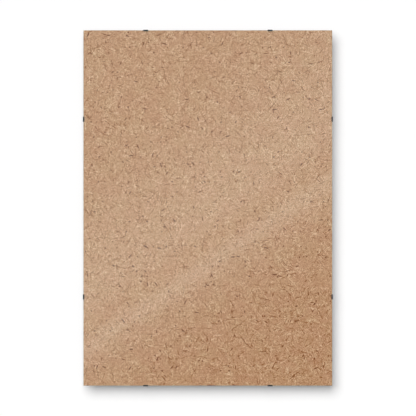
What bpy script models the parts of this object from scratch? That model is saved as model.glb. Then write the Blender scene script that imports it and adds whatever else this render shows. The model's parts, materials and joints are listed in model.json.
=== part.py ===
"""Frameless glass picture frame, 70 x 100 cm.

A sheet of float glass lies on a hardboard back. Eight bent spring-steel clips grip the two along their
edges: each has a lip on the glass, a web past the edge and a bowed leg whose hook drops into a blind
pocket milled in the back of the board. Two press-in sawtooth hangers take the wall nail, one for upright
and one for sideways hanging.

Metres, +Z up. The front faces -Y. The origin is where the upper hanger meets the wall, so Y = 0 is the wall.
"""

import math

import bmesh
import bpy
from mathutils import Matrix, Vector

MM = 0.001

# Driving dimensions
PANE_WIDTH = 700 * MM
PANE_HEIGHT = 1000 * MM
GLASS_THICK = 2.0 * MM
GLASS_SEAM = 0.4 * MM
BOARD_THICK = 3.0 * MM
SEAT_GAP = 0.3 * MM

CLIP_WIDTH = 14.0 * MM
CLIP_TIP_WIDTH = 11.0 * MM
CLIP_THICK = 0.6 * MM
CLIP_LIP = 2.3 * MM
CLIP_STAND_OFF = 1.0 * MM
CLIP_LEG_GAP = 0.6 * MM
CLIP_BOW = 1.2 * MM
CLIP_STATIONS = (0.25, 0.75)

HOOK_SETBACK = 24.5 * MM
HOOK_REACH = 3.5 * MM
HOOK_DEPTH = 1.0 * MM
TAB_LENGTH = 4.0 * MM
TAB_LIFT = 1.4 * MM

POCKET_LENGTH = 22.0 * MM
POCKET_WIDTH = 7.0 * MM
POCKET_DEPTH = 1.8 * MM

HANGER_THICK = 0.8 * MM
HANGER_WIDTH = 9.0 * MM
HANGER_RISE = 2.0 * MM
HANGER_BRIDGE = 44.0 * MM
HANGER_STEP = 2.2 * MM
HANGER_TAB = 8.0 * MM
HANGER_DROP = 60.0 * MM
PRONG_DEPTH = 1.9 * MM
PRONG_SHOULDER = 0.4 * MM
PRONG_TIP = 1.2 * MM
TOOTH_COUNT = 9
TOOTH_PITCH = 4.0 * MM
TOOTH_DEPTH = 2.2 * MM

# Places that follow from the driving dimensions
BOARD_BACK_Y = -(HANGER_RISE + HANGER_THICK + SEAT_GAP)
BOARD_FRONT_Y = BOARD_BACK_Y - BOARD_THICK
GLASS_BACK_Y = BOARD_FRONT_Y - SEAT_GAP
GLASS_FRONT_Y = GLASS_BACK_Y - GLASS_THICK
TOP_Z = HANGER_DROP
CENTRE_Z = TOP_Z - PANE_HEIGHT / 2

# Colours, roughness and metallic value of each material
GLASS_LOOK = ((0.92, 0.97, 0.95, 1.0), 0.02, 0.0)
BOARD_LOOK = ((0.46, 0.28, 0.17, 1.0), 0.75, 0.0)
CLIP_LOOK = ((0.05, 0.055, 0.06, 1.0), 0.35, 0.9)
HANGER_LOOK = ((0.62, 0.60, 0.55, 1.0), 0.3, 1.0)

# Quarter turns about Y that carry a clip drawn for the top edge to each edge
EDGE_TURNS = {"top": 0, "right": 1, "bottom": 2, "left": 3}
# Names of the two clips of an edge, in the order of CLIP_STATIONS along local +X
CLIP_NAMES = {
    "top": ("clip_top_left", "clip_top_right"),
    "right": ("clip_right_upper", "clip_right_lower"),
    "bottom": ("clip_bottom_right", "clip_bottom_left"),
    "left": ("clip_left_lower", "clip_left_upper"),
}


def clear_scene():
    for old in list(bpy.data.objects):
        bpy.data.objects.remove(old, do_unlink=True)


def new_collection(name):
    made = bpy.data.collections.new(name)
    bpy.context.scene.collection.children.link(made)
    return made


def new_material(name, look):
    colour, roughness, metallic = look
    made = bpy.data.materials.new(name)
    made.use_nodes = True
    shader = made.node_tree.nodes["Principled BSDF"]
    shader.inputs["Base Color"].default_value = colour
    shader.inputs["Roughness"].default_value = roughness
    shader.inputs["Metallic"].default_value = metallic
    return made


def link(obj, collection):
    collection.objects.link(obj)
    return obj


def quarter_turn(turns):
    return Matrix.Rotation(turns * math.pi / 2, 4, "Y")


def box(name, size, centre, collection):
    """A box of that size about that centre, with its scale in its mesh."""
    shape = bmesh.new()
    bmesh.ops.create_cube(shape, size=1.0, matrix=Matrix.Diagonal((*size, 1.0)))
    mesh = bpy.data.meshes.new(name)
    shape.to_mesh(mesh)
    shape.free()
    obj = link(bpy.data.objects.new(name, mesh), collection)
    obj.location = centre
    return obj


def filleted(corners, steps_per_turn=32):
    """The points of a path through these (point, radius) corners, each corner rounded by an arc of its radius."""
    points = []
    for i, (corner, radius) in enumerate(corners):
        corner = Vector(corner)
        if radius == 0:
            points.append(corner)
            continue
        into = (corner - Vector(corners[i - 1][0])).normalized()
        onward = (Vector(corners[(i + 1) % len(corners)][0]) - corner).normalized()
        turn = into.angle_signed(onward)
        setback = radius * math.tan(abs(turn) / 2)
        start = corner - into * setback
        side = math.copysign(1.0, turn)
        centre = start + Vector((into.y, -into.x)) * radius * side
        steps = max(4, math.ceil(abs(turn) / (2 * math.pi) * steps_per_turn))
        for k in range(steps + 1):
            arm = start - centre
            arm.rotate(Matrix.Rotation(-turn * k / steps, 2))
            points.append(centre + arm)
    return points


def flat_curve(name, points, closed, collection):
    """A 2D curve in its own XY plane through these points."""
    curve = bpy.data.curves.new(name, "CURVE")
    curve.dimensions = "2D"
    spline = curve.splines.new("POLY")
    spline.points.add(len(points) - 1)
    for knot, (x, y) in zip(spline.points, points):
        knot.co = (x, y, 0.0, 1.0)
    spline.use_cyclic_u = closed
    return link(bpy.data.objects.new(name, curve), collection)


def as_mesh(obj, name, turn, collection):
    """A curve or a modified object made a mesh object, welded and turned into its place. The first object is removed."""
    bpy.context.view_layer.update()
    graph = bpy.context.evaluated_depsgraph_get()
    mesh = bpy.data.meshes.new_from_object(obj.evaluated_get(graph))
    mesh.name = name
    shape = bmesh.new()
    shape.from_mesh(mesh)
    bmesh.ops.transform(shape, matrix=turn, verts=shape.verts)
    bmesh.ops.remove_doubles(shape, verts=shape.verts, dist=1e-6)
    bmesh.ops.recalc_face_normals(shape, faces=shape.faces)
    shape.to_mesh(mesh)
    shape.free()
    bpy.data.objects.remove(obj, do_unlink=True)
    return link(bpy.data.objects.new(name, mesh), collection)


def plate(name, outline, thickness, turn, collection):
    """A flat outline with that thickness about its own plane, turned into its place."""
    obj = flat_curve(name, outline, True, collection)
    obj.data.fill_mode = "BOTH"
    obj.data.extrude = thickness / 2
    return as_mesh(obj, name, turn, collection)


def bent_strip(name, path, width, thickness, turn, collection):
    """A strip of sheet metal of that width, bent along a flat path through the middle of its thickness."""
    obj = flat_curve(name, path, False, collection)
    obj.data.extrude = width / 2
    solid = obj.modifiers.new("sheet", "SOLIDIFY")
    solid.thickness = thickness
    solid.offset = 0.0
    solid.use_even_offset = True
    return as_mesh(obj, name, turn, collection)


def boolean(obj, operation, cutter):
    """A Boolean of obj with a cutter, or with every object of a collection."""
    made = obj.modifiers.new(operation.lower(), "BOOLEAN")
    made.operation = operation
    if isinstance(cutter, bpy.types.Collection):
        made.operand_type = "COLLECTION"
        made.collection = cutter
    else:
        made.object = cutter
    return made


def hide_cutters(collection):
    for cutter in collection.objects:
        cutter.hide_render = True
        cutter.display_type = "WIRE"


def smooth(obj, angle=35.0):
    obj.data.shade_smooth()
    obj.data.set_sharp_from_angle(angle=math.radians(angle))


def clip_path():
    """The clip's bend line as (out from the hinge, back from the hinge): lip, web, bowed leg, hook, finger tab."""
    half = CLIP_THICK / 2
    board_back = GLASS_THICK + SEAT_GAP + BOARD_THICK + SEAT_GAP
    web = CLIP_LIP + CLIP_STAND_OFF + half
    leg = board_back + CLIP_LEG_GAP + half
    hook = CLIP_LIP - HOOK_SETBACK
    hook_low = board_back - HOOK_DEPTH
    corners = [
        ((0.0, -half), 0),
        ((web, -half), 0.8 * MM),
        ((web, leg), 1.2 * MM),
        (((web + hook) / 2, leg + CLIP_BOW), 40.0 * MM),
        ((hook + HOOK_REACH, leg), 1.5 * MM),
        ((hook, hook_low), 0.9 * MM),
        ((hook - HOOK_REACH, leg), 2.5 * MM),
        ((hook - HOOK_REACH - TAB_LENGTH, leg + TAB_LIFT), 0),
    ]
    return filleted(corners)


def clip_blank():
    """The clip's outline seen from behind, as (along the edge, out from the hinge): the leg narrows to a round tab."""
    tail = CLIP_LIP - HOOK_SETBACK - HOOK_REACH - TAB_LENGTH
    head = CLIP_LIP + CLIP_STAND_OFF + 2 * CLIP_THICK
    narrow = CLIP_LIP - HOOK_SETBACK + HOOK_REACH
    half, half_tip = CLIP_WIDTH / 2, CLIP_TIP_WIDTH / 2
    corners = [
        ((half, head), 0),
        ((half, 0.0), 6.0 * MM),
        ((half_tip, narrow), 6.0 * MM),
        ((half_tip, tail), 3.5 * MM),
        ((-half_tip, tail), 3.5 * MM),
        ((-half_tip, narrow), 6.0 * MM),
        ((-half, 0.0), 6.0 * MM),
        ((-half, head), 0),
    ]
    return filleted(corners)


def clip_mesh(cutters):
    """One clip with its hinge line on local X, the edge it grips towards +Z and the wall towards +Y."""
    # The path is drawn with X out from the edge and Y back, and the strip's width along Z.
    strip_turn = Matrix(((0, 0, 1, 0), (0, 1, 0, 0), (1, 0, 0, 0), (0, 0, 0, 1)))
    strip = bent_strip("clip_strip", clip_path(), 2 * CLIP_WIDTH, CLIP_THICK, strip_turn, cutters)
    blank_turn = Matrix(((1, 0, 0, 0), (0, 0, 1, 0), (0, 1, 0, 0), (0, 0, 0, 1)))
    blank = plate("clip_blank", clip_blank(), 4 * CLIP_WIDTH, blank_turn, cutters)
    boolean(strip, "INTERSECT", blank)
    made = as_mesh(strip, "clip", Matrix.Identity(4), cutters)
    mesh = made.data
    bpy.data.objects.remove(made, do_unlink=True)
    bpy.data.objects.remove(blank, do_unlink=True)
    return mesh


def clip_places():
    """(name, matrix) of each clip, at the two stations of each edge."""
    for edge, turns in EDGE_TURNS.items():
        along, across = (PANE_WIDTH, PANE_HEIGHT) if turns % 2 == 0 else (PANE_HEIGHT, PANE_WIDTH)
        for name, station in zip(CLIP_NAMES[edge], CLIP_STATIONS):
            hinge = Vector(((station - 0.5) * along, 0.0, across / 2 - CLIP_LIP))
            centre = Vector((0.0, GLASS_FRONT_Y - SEAT_GAP, CENTRE_Z))
            yield name, Matrix.Translation(centre) @ quarter_turn(turns) @ Matrix.Translation(hinge)


def hanger_path():
    """The hanger's bend line as (along, out from the wall): prong, tab, step, bridge and the same again."""
    half = HANGER_THICK / 2
    tab = -(HANGER_RISE + half)
    bridge_end = HANGER_BRIDGE / 2
    step_end = bridge_end + HANGER_STEP
    prong = step_end + HANGER_TAB
    tip = BOARD_BACK_Y - PRONG_DEPTH
    right = [
        ((bridge_end, -half), 0.9 * MM),
        ((step_end, tab), 0.9 * MM),
        ((prong, tab), 0.7 * MM),
        ((prong, tip), 0),
    ]
    left = [((-x, y), radius) for (x, y), radius in reversed(right)]
    return filleted(left + right, steps_per_turn=24)


def tooth_edge():
    """The outline of what is cut from the bridge's lower edge, so that a row of pointed notches is left."""
    edge = -HANGER_WIDTH / 2
    start = -TOOTH_COUNT * TOOTH_PITCH / 2
    points = [(start, edge - TOOTH_DEPTH)]
    for i in range(TOOTH_COUNT):
        left = start + i * TOOTH_PITCH
        points.append((left, edge - SEAT_GAP))
        points.append((left + TOOTH_PITCH / 2, edge + TOOTH_DEPTH))
    points.append((-start, edge - SEAT_GAP))
    points.append((-start, edge - TOOTH_DEPTH))
    return points


def prong_outline():
    """The hanger seen along its length, as (across, out from the wall): full width, with a blunt point at the front."""
    half, half_tip = HANGER_WIDTH / 2, PRONG_TIP / 2
    shoulder = BOARD_BACK_Y - PRONG_SHOULDER
    tip = BOARD_BACK_Y - PRONG_DEPTH
    return [
        (half, HANGER_THICK),
        (half, shoulder),
        (half_tip, tip - SEAT_GAP),
        (-half_tip, tip - SEAT_GAP),
        (-half, shoulder),
        (-half, HANGER_THICK),
    ]


def hanger_mesh(cutters):
    """One sawtooth hanger with its bridge's back in the plane Y = 0, its length along X and its teeth down."""
    strip = bent_strip("strip", hanger_path(), 2 * HANGER_WIDTH, HANGER_THICK, Matrix.Identity(4), cutters)
    # The width runs along Z once the curve's own plane is taken as XY, so the strip needs no turn.
    prong_turn = Matrix(((0, 0, 1, 0), (0, 1, 0, 0), (1, 0, 0, 0), (0, 0, 0, 1)))
    prongs = plate("prongs", prong_outline(), 3 * HANGER_BRIDGE, prong_turn, cutters)
    tooth_turn = Matrix(((1, 0, 0, 0), (0, 0, 1, 0), (0, 1, 0, 0), (0, 0, 0, 1)))
    teeth = plate("teeth", tooth_edge(), 4 * HANGER_RISE, tooth_turn, cutters)
    boolean(strip, "INTERSECT", prongs)
    boolean(strip, "DIFFERENCE", teeth)
    made = as_mesh(strip, "hanger", Matrix.Identity(4), cutters)
    mesh = made.data
    for used in (made, prongs, teeth):
        bpy.data.objects.remove(used, do_unlink=True)
    return mesh


def hanger_places():
    """(name, matrix) of the hanger for upright hanging and of the one for sideways hanging."""
    yield "hanger_top", Matrix.Identity(4)
    side = Vector((PANE_WIDTH / 2 - HANGER_DROP, 0.0, CENTRE_Z))
    yield "hanger_side", Matrix.Translation(side) @ quarter_turn(1)


def pocket_outline():
    """A milled pocket's outline, with ends as round as the cutter."""
    half, radius = POCKET_LENGTH / 2, POCKET_WIDTH / 2
    round_corner = radius * 0.999
    return filleted(
        [
            ((half, radius), round_corner),
            ((half, -radius), round_corner),
            ((-half, -radius), round_corner),
            ((-half, radius), round_corner),
        ]
    )


def cut_pockets(cutters):
    """Cutters for the clip hooks and for the hanger prongs, in the back of the board."""
    turn = Matrix(((1, 0, 0, 0), (0, 0, 1, 0), (0, 1, 0, 0), (0, 0, 0, 1)))
    hook_back = Vector((0.0, BOARD_BACK_Y - (GLASS_FRONT_Y - SEAT_GAP), CLIP_LIP - HOOK_SETBACK))
    for name, place in clip_places():
        pocket = plate(name + "_pocket", pocket_outline(), 2 * POCKET_DEPTH, turn, cutters)
        pocket.matrix_world = place @ Matrix.Translation(hook_back)
    depth = PRONG_DEPTH + SEAT_GAP
    size = (HANGER_THICK + 2 * SEAT_GAP, 2 * depth, HANGER_WIDTH + 2 * SEAT_GAP)
    prong = HANGER_BRIDGE / 2 + HANGER_STEP + HANGER_TAB
    for name, place in hanger_places():
        for side in (-1, 1):
            centre = Vector((side * prong, BOARD_BACK_Y, 0.0))
            slit = box(f"{name}_slit_{side}", size, (0, 0, 0), cutters)
            slit.matrix_world = place @ Matrix.Translation(centre)


def make_glass(parts):
    size = (PANE_WIDTH, GLASS_THICK, PANE_HEIGHT)
    centre = (0.0, (GLASS_FRONT_Y + GLASS_BACK_Y) / 2, CENTRE_Z)
    glass = box("glass_pane", size, centre, parts)
    seam = glass.modifiers.new("seamed_edges", "BEVEL")
    seam.width = GLASS_SEAM
    seam.segments = 1
    glass.data.materials.append(new_material("glass", GLASS_LOOK))


def make_board(parts, cutters):
    size = (PANE_WIDTH, BOARD_THICK, PANE_HEIGHT)
    centre = (0.0, (BOARD_FRONT_Y + BOARD_BACK_Y) / 2, CENTRE_Z)
    board = box("back_board", size, centre, parts)
    board.data.materials.append(new_material("hardboard", BOARD_LOOK))
    cut_pockets(cutters)
    boolean(board, "DIFFERENCE", cutters)


def make_copies(mesh, places, look, material_name, parts):
    mesh.materials.clear()
    mesh.materials.append(new_material(material_name, look))
    for name, place in places:
        obj = link(bpy.data.objects.new(name, mesh), parts)
        obj.matrix_world = place
        smooth(obj)


def main():
    clear_scene()
    parts = new_collection("frameless_glass_frame")
    cutters = new_collection("cutters")
    make_glass(parts)
    make_copies(clip_mesh(cutters), clip_places(), CLIP_LOOK, "clip_steel", parts)
    make_copies(hanger_mesh(cutters), hanger_places(), HANGER_LOOK, "hanger_steel", parts)
    make_board(parts, cutters)
    hide_cutters(cutters)


main()
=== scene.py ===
# %% [markdown]
# # A frameless glass picture frame
#
# A sheet of clear glass lies on a sheet of hardboard, and eight small spring clips grip the two along
# their edges. There is no moulding round it, so nearly all that shows from the front is the board's
# pressed wood fibre, seen through the glass and its reflections.
#
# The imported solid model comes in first. Its pieces keep their place and size. The lesson gives them
# their surfaces: fibre, glass, blued steel and zinc, and finer strips for the bent metal.

import json
import math

import bpy
import numpy as np
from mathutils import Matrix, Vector


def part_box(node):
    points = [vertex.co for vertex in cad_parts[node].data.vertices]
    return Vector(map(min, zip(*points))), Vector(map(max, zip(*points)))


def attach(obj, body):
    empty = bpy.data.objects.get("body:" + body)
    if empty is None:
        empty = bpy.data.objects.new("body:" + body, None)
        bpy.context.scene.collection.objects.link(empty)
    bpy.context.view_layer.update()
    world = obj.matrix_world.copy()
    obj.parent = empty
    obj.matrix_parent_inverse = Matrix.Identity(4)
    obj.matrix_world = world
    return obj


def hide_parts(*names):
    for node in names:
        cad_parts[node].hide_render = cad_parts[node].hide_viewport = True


MM = 0.001
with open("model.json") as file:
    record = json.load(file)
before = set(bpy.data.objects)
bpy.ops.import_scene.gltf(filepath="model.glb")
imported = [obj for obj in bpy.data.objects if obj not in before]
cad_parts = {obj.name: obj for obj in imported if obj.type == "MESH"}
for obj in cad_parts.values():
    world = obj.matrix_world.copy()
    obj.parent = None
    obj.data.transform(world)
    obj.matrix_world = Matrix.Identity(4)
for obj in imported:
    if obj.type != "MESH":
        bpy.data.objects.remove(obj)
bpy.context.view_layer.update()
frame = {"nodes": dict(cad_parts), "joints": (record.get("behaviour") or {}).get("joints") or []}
glass_low, glass_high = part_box("glass_pane")
_, board_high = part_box("back_board")
pane_width = glass_high.x - glass_low.x
pane_height = glass_high.z - glass_low.z
pane_middle = (glass_low.z + glass_high.z) / 2
print(f"pane {pane_width:.3f} x {pane_height:.3f} m, {len(frame['nodes'])} solids")

# %% [markdown]
# ## The camera
#
# The picture looks straight at the middle of the glass, so upright edges stay upright and both sides
# keep the same length. A long lens from ten metres away does that. Its angle follows from how many
# millimetres of glass one pixel of the square picture covers. It stands a hair to one side, because the
# picture isn't quite centred.

# %% Camera
FRAME_PIXELS = 416
MM_PER_PIXEL = 2.8133
CAMERA_DISTANCE = 10.0
CAMERA_ASIDE = 0.45 * MM

camera_data = bpy.data.cameras.new("camera")
camera = bpy.data.objects.new("camera", camera_data)
bpy.context.scene.collection.objects.link(camera)
camera.location = (CAMERA_ASIDE, glass_low.y - CAMERA_DISTANCE, pane_middle)
camera.rotation_euler = (math.pi / 2, 0.0, 0.0)
picture_side = FRAME_PIXELS * MM_PER_PIXEL * MM
camera_data.angle = 2 * math.atan(picture_side / 2 / CAMERA_DISTANCE)
bpy.context.scene.camera = camera
bpy.context.scene.view_settings.view_transform = "Standard"
print(f"lens {camera_data.lens:.1f} mm, picture {picture_side:.3f} m across at the glass")

# %% [markdown]
# ## Small tools for shader nodes
#
# A material is a small program drawn as nodes. Written out node by node it is long, so a few helpers
# come first: one sets or links a socket, the others add a sum, a vector step, a soft threshold or a mix
# of colours and hand back the socket that carries the result.


# %% Node helpers
def feed(tree, socket, value):
    """Links another socket to this one, or sets a plain value on it."""
    if isinstance(value, bpy.types.NodeSocket):
        tree.links.new(value, socket)
    else:
        socket.default_value = value


def add_node(tree, kind, **settings):
    """A new node with its settings."""
    made = tree.nodes.new(kind)
    for name, value in settings.items():
        setattr(made, name, value)
    return made


def calc(tree, operation, *values):
    """One step of arithmetic on numbers."""
    made = add_node(tree, "ShaderNodeMath", operation=operation)
    for socket, value in zip(made.inputs, values):
        feed(tree, socket, value)
    return made.outputs[0]


def total(tree, *values):
    """All the values added up."""
    result = values[0]
    for value in values[1:]:
        result = calc(tree, "ADD", result, value)
    return result


def vector_calc(tree, operation, *values):
    """One step of arithmetic on vectors. SCALE takes its number last."""
    made = add_node(tree, "ShaderNodeVectorMath", operation=operation)
    feed(tree, made.inputs[0], values[0])
    feed(tree, made.inputs["Scale" if operation == "SCALE" else 1], values[1])
    return made.outputs[0]


def soft_step(tree, value, start, end):
    """0 where value is at start, 1 where it is at end, and a smooth curve between.

    The end may be less than the start, and the curve then runs downwards."""
    made = add_node(tree, "ShaderNodeMapRange", interpolation_type="SMOOTHSTEP")
    feed(tree, made.inputs["Value"], value)
    feed(tree, made.inputs["From Min"], start)
    feed(tree, made.inputs["From Max"], end)
    return made.outputs["Result"]


def mix_colours(tree, share, first, second, blend="MIX"):
    """Two colours mixed by a share of 0 to 1, or blended in another way."""
    made = add_node(tree, "ShaderNodeMix", data_type="RGBA", blend_type=blend)
    feed(tree, made.inputs[0], share)
    feed(tree, made.inputs[6], first)
    feed(tree, made.inputs[7], second)
    return made.outputs[2]


def split(tree, vector):
    """The X, Y and Z of a vector."""
    made = add_node(tree, "ShaderNodeSeparateXYZ")
    feed(tree, made.inputs[0], vector)
    return made.outputs


def join(tree, x, y, z):
    """A vector made of X, Y and Z."""
    made = add_node(tree, "ShaderNodeCombineXYZ")
    for socket, value in zip(made.inputs, (x, y, z)):
        feed(tree, socket, value)
    return made.outputs[0]


def cloud(tree, vector, scale, detail=2.0, roughness=0.5):
    """Soft random noise, 0 to 1, whose blobs are about 1 / scale metres wide."""
    made = add_node(tree, "ShaderNodeTexNoise")
    feed(tree, made.inputs["Vector"], vector)
    made.inputs["Scale"].default_value = scale
    made.inputs["Detail"].default_value = detail
    made.inputs["Roughness"].default_value = roughness
    return made.outputs["Fac"]


def new_group(name, inputs, outputs):
    """An empty node group with named inputs and outputs."""
    tree = bpy.data.node_groups.new(name, "ShaderNodeTree")
    for label, kind, value in inputs:
        socket = tree.interface.new_socket(label, in_out="INPUT", socket_type=kind)
        socket.default_value = value
    for label in outputs:
        tree.interface.new_socket(label, in_out="OUTPUT", socket_type="NodeSocketFloat")
    entry = tree.nodes.new("NodeGroupInput").outputs
    exit_inputs = tree.nodes.new("NodeGroupOutput").inputs
    return tree, entry, exit_inputs


def place_group(tree, group, **values):
    """The group as one node of a material, with its own values. Its outputs are handed back."""
    made = add_node(tree, "ShaderNodeGroup", node_tree=group)
    for label, value in values.items():
        feed(tree, made.inputs[label], value)
    return made.outputs


def new_material(name):
    """A material, its nodes and its Principled shader, whose own sockets take the plain values."""
    made = bpy.data.materials.new(name)
    made.use_nodes = True
    return made, made.node_tree, made.node_tree.nodes["Principled BSDF"]


print("node helpers ready")

# %% [markdown]
# ## Scattered fibres, as a node group
#
# Hardboard is pulped wood pressed flat. Strands and darker splinters lie every way in it, so the surface
# is a mat of short strokes. A picture of real board would do as a texture, but it blurs close up and
# repeats, so the strokes are drawn by rule.
#
# A Voronoi texture cuts the sheet into random cells and tells each point which cell it is in. Every cell
# turns its own way. One strand runs through its middle, an ellipse with a frayed rim, and a tuft of fine
# streaks lies round it. Stretched noise draws the streaks and frays the rim. A dozen layers of this
# group, at different sizes, make the mat.

# %% Fibre group
# The half lengths that strands have, as shares of their layer's length.
SHORTEST = 0.2
LONGEST = 0.5
# How much the streaks fray a strand, and between which sums its rim fades.
FRAY = 3.0
RIM_OUT = 1.5
RIM_IN = -0.2
# How far from its middle a tuft of streaks ends and begins to fade, in cells.
TUFT_OUT = 0.7
TUFT_IN = 0.25
# The noise that draws the streaks, and how far apart in it two tufts may lie.
STREAK_SCALE = 1.2
STREAK_DETAIL = 5.0
STREAK_ROUGHNESS = 0.7
TUFTS_APART = 40.0
# How far up a seed moves its layer for each metre sideways.
SEED_RISE = 1.7
# A draw times this has new digits behind its point.
REDRAW = 17.0


def make_fibre_group():
    """Strands and streaks, one tuft to a Voronoi cell. Sizes are in metres.

    A point lies at (a, c) along and across its cell's own direction, and c is bent by a^2. Streak is noise
    on (a / length, c / width), about 0, that fades towards the cell's border. The sum
    (a / half length)^2 + (c / half width)^2 + FRAY * noise is about 1 at a strand's rim, and Strand falls
    from 1 to 0 as it grows from RIM_IN to RIM_OUT. Shade is a random number for each cell."""
    tree, entry, exit_inputs = new_group(
        "fibres",
        [
            ("Sheet", "NodeSocketVector", (0.0, 0.0, 0.0)),
            ("Spacing", "NodeSocketFloat", 0.01),
            ("Length", "NodeSocketFloat", 0.01),
            ("Width", "NodeSocketFloat", 0.001),
            ("Share", "NodeSocketFloat", 0.5),
            ("Bend", "NodeSocketFloat", 0.0),
            ("Seed", "NodeSocketFloat", 0.0),
        ],
        ["Strand", "Streak", "Shade"],
    )
    # The seed moves each layer to another place on the endless field of cells.
    shift = join(tree, entry["Seed"], calc(tree, "MULTIPLY", entry["Seed"], SEED_RISE), 0.0)
    cells_per_metre = calc(tree, "DIVIDE", 1.0, entry["Spacing"])
    spot = vector_calc(tree, "SCALE", vector_calc(tree, "ADD", entry["Sheet"], shift), cells_per_metre)
    cells = add_node(tree, "ShaderNodeTexVoronoi", voronoi_dimensions="2D", feature="F1")
    feed(tree, cells.inputs["Vector"], spot)
    cells.inputs["Scale"].default_value = 1.0
    chance = add_node(tree, "ShaderNodeSeparateColor")
    feed(tree, chance.inputs[0], cells.outputs["Color"])
    angle_draw, share_draw, shade_draw = chance.outputs[:3]

    from_middle = vector_calc(tree, "SUBTRACT", spot, cells.outputs["Position"])
    turned = add_node(tree, "ShaderNodeVectorRotate", rotation_type="Z_AXIS")
    feed(tree, turned.inputs["Vector"], vector_calc(tree, "SCALE", from_middle, entry["Spacing"]))
    feed(tree, turned.inputs["Angle"], calc(tree, "MULTIPLY", angle_draw, math.tau))
    along, across, _ = split(tree, turned.outputs[0])
    bend = calc(tree, "MULTIPLY", calc(tree, "SUBTRACT", shade_draw, 0.5), entry["Bend"])
    across = calc(tree, "MULTIPLY_ADD", calc(tree, "MULTIPLY", along, along), bend, across)
    along = calc(tree, "DIVIDE", along, entry["Length"])
    across = calc(tree, "DIVIDE", across, entry["Width"])

    # Every cell reads the noise at another height, so no two tufts are alike.
    height = calc(tree, "MULTIPLY_ADD", shade_draw, TUFTS_APART, across)
    lines = add_node(tree, "ShaderNodeTexNoise", noise_dimensions="2D")
    feed(tree, lines.inputs["Vector"], join(tree, along, height, 0.0))
    lines.inputs["Scale"].default_value = STREAK_SCALE
    lines.inputs["Detail"].default_value = STREAK_DETAIL
    lines.inputs["Roughness"].default_value = STREAK_ROUGHNESS
    streak = calc(tree, "SUBTRACT", lines.outputs[0], 0.5)
    fade = soft_step(tree, cells.outputs["Distance"], TUFT_OUT, TUFT_IN)
    feed(tree, exit_inputs["Streak"], calc(tree, "MULTIPLY", streak, fade))

    # The draw's last digits serve as a draw of their own, for the strand's length.
    length_draw = calc(tree, "FRACT", calc(tree, "MULTIPLY", share_draw, REDRAW))
    half_length = calc(tree, "MULTIPLY_ADD", length_draw, LONGEST - SHORTEST, SHORTEST)
    run = calc(tree, "DIVIDE", along, half_length)
    run_squared = calc(tree, "MULTIPLY", run, run)
    # The half width is half a width, so its square counts four times.
    rim = calc(tree, "MULTIPLY_ADD", calc(tree, "MULTIPLY", across, across), 4.0, run_squared)
    frayed = calc(tree, "MULTIPLY_ADD", streak, FRAY, rim)
    present = calc(tree, "LESS_THAN", share_draw, entry["Share"])
    strand = calc(tree, "MULTIPLY", soft_step(tree, frayed, RIM_OUT, RIM_IN), present)
    feed(tree, exit_inputs["Strand"], strand)
    feed(tree, exit_inputs["Shade"], shade_draw)
    return tree


fibre_group = make_fibre_group()
print("fibre group:", len(fibre_group.nodes), "nodes")

# %% [markdown]
# ## Hardboard
#
# The board's front is smooth and mid brown, with pale and dark fibres, a few long ones and scattered
# dark splinters. Its back was pressed on a wire screen and keeps a fine woven print. The sawn edges show
# the layers, and the milled pockets are paler and fuzzy where the cutter tore the fibre.
#
# One number, the tone, says how light or dark each spot is. All the layers add to it or take from it.
# A colour ramp then turns the tone into colour. That keeps dark fibres redder and pale ones straw
# coloured, as in the real board, with one place to change it.

# %% Hardboard layers
# Each row is a layer of fibres: spacing, length and width in mm, share of cells that hold a strand, bend
# in 1/m, and how much the strands and the streaks lighten (or darken) the tone.
FIBRE_LAYERS = (
    (6.0, 8.0, 2.2, 0.30, 20.0, -0.16, 1.00),
    (7.0, 9.5, 1.8, 0.25, 20.0, 0.10, 1.00),
    (10.0, 15.0, 2.1, 0.40, 18.0, -0.17, 0.80),
    (11.0, 16.0, 1.7, 0.40, 18.0, 0.13, 0.80),
    (15.0, 26.0, 3.4, 0.25, 14.0, 0.11, 0.96),
    (17.0, 30.0, 3.8, 0.35, 14.0, -0.15, 0.96),
    (19.0, 30.0, 1.6, 0.80, 12.0, 0.16, 0.00),
    (21.0, 32.0, 1.8, 0.80, 12.0, -0.28, 0.00),
    (36.0, 60.0, 1.9, 0.30, 10.0, 0.22, 0.00),
    (42.0, 60.0, 1.8, 0.30, 10.0, -0.33, 0.00),
    (14.0, 8.0, 3.6, 0.10, 10.0, -0.78, 0.00),
    (26.0, 17.0, 3.2, 0.18, 10.0, -0.74, 0.00),
)
# Tones, dark to pale, and the colour that the board has at each.
TONE_COLOURS = (
    (-0.30, (0.150, 0.030, 0.003)),
    (0.00, (0.252, 0.068, 0.010)),
    (0.25, (0.394, 0.156, 0.054)),
    (0.50, (0.597, 0.312, 0.1755)),
    (0.75, (0.850, 0.560, 0.366)),
    (0.85, (0.905, 0.660, 0.452)),
)
MIDDLE_TONE = 0.5
SEED_STEP = 0.37
# The fibres' strength in the calmest areas, and how much more the busiest have.
CALM = 0.6
BUSIER = 0.8
# How much small blotches and larger patches change the tone.
MOTTLE = 0.10
PATCHES = 0.12
# The scales of the noise for busy areas, blotches and patches.
BUSY_SCALE = 30.0
MOTTLE_SCALE = 110.0
PATCH_SCALE = 28.0
# Most soft thresholds run over the middle part of 0 to 1.
MIDDLE_PART = (0.3, 0.7)


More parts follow.
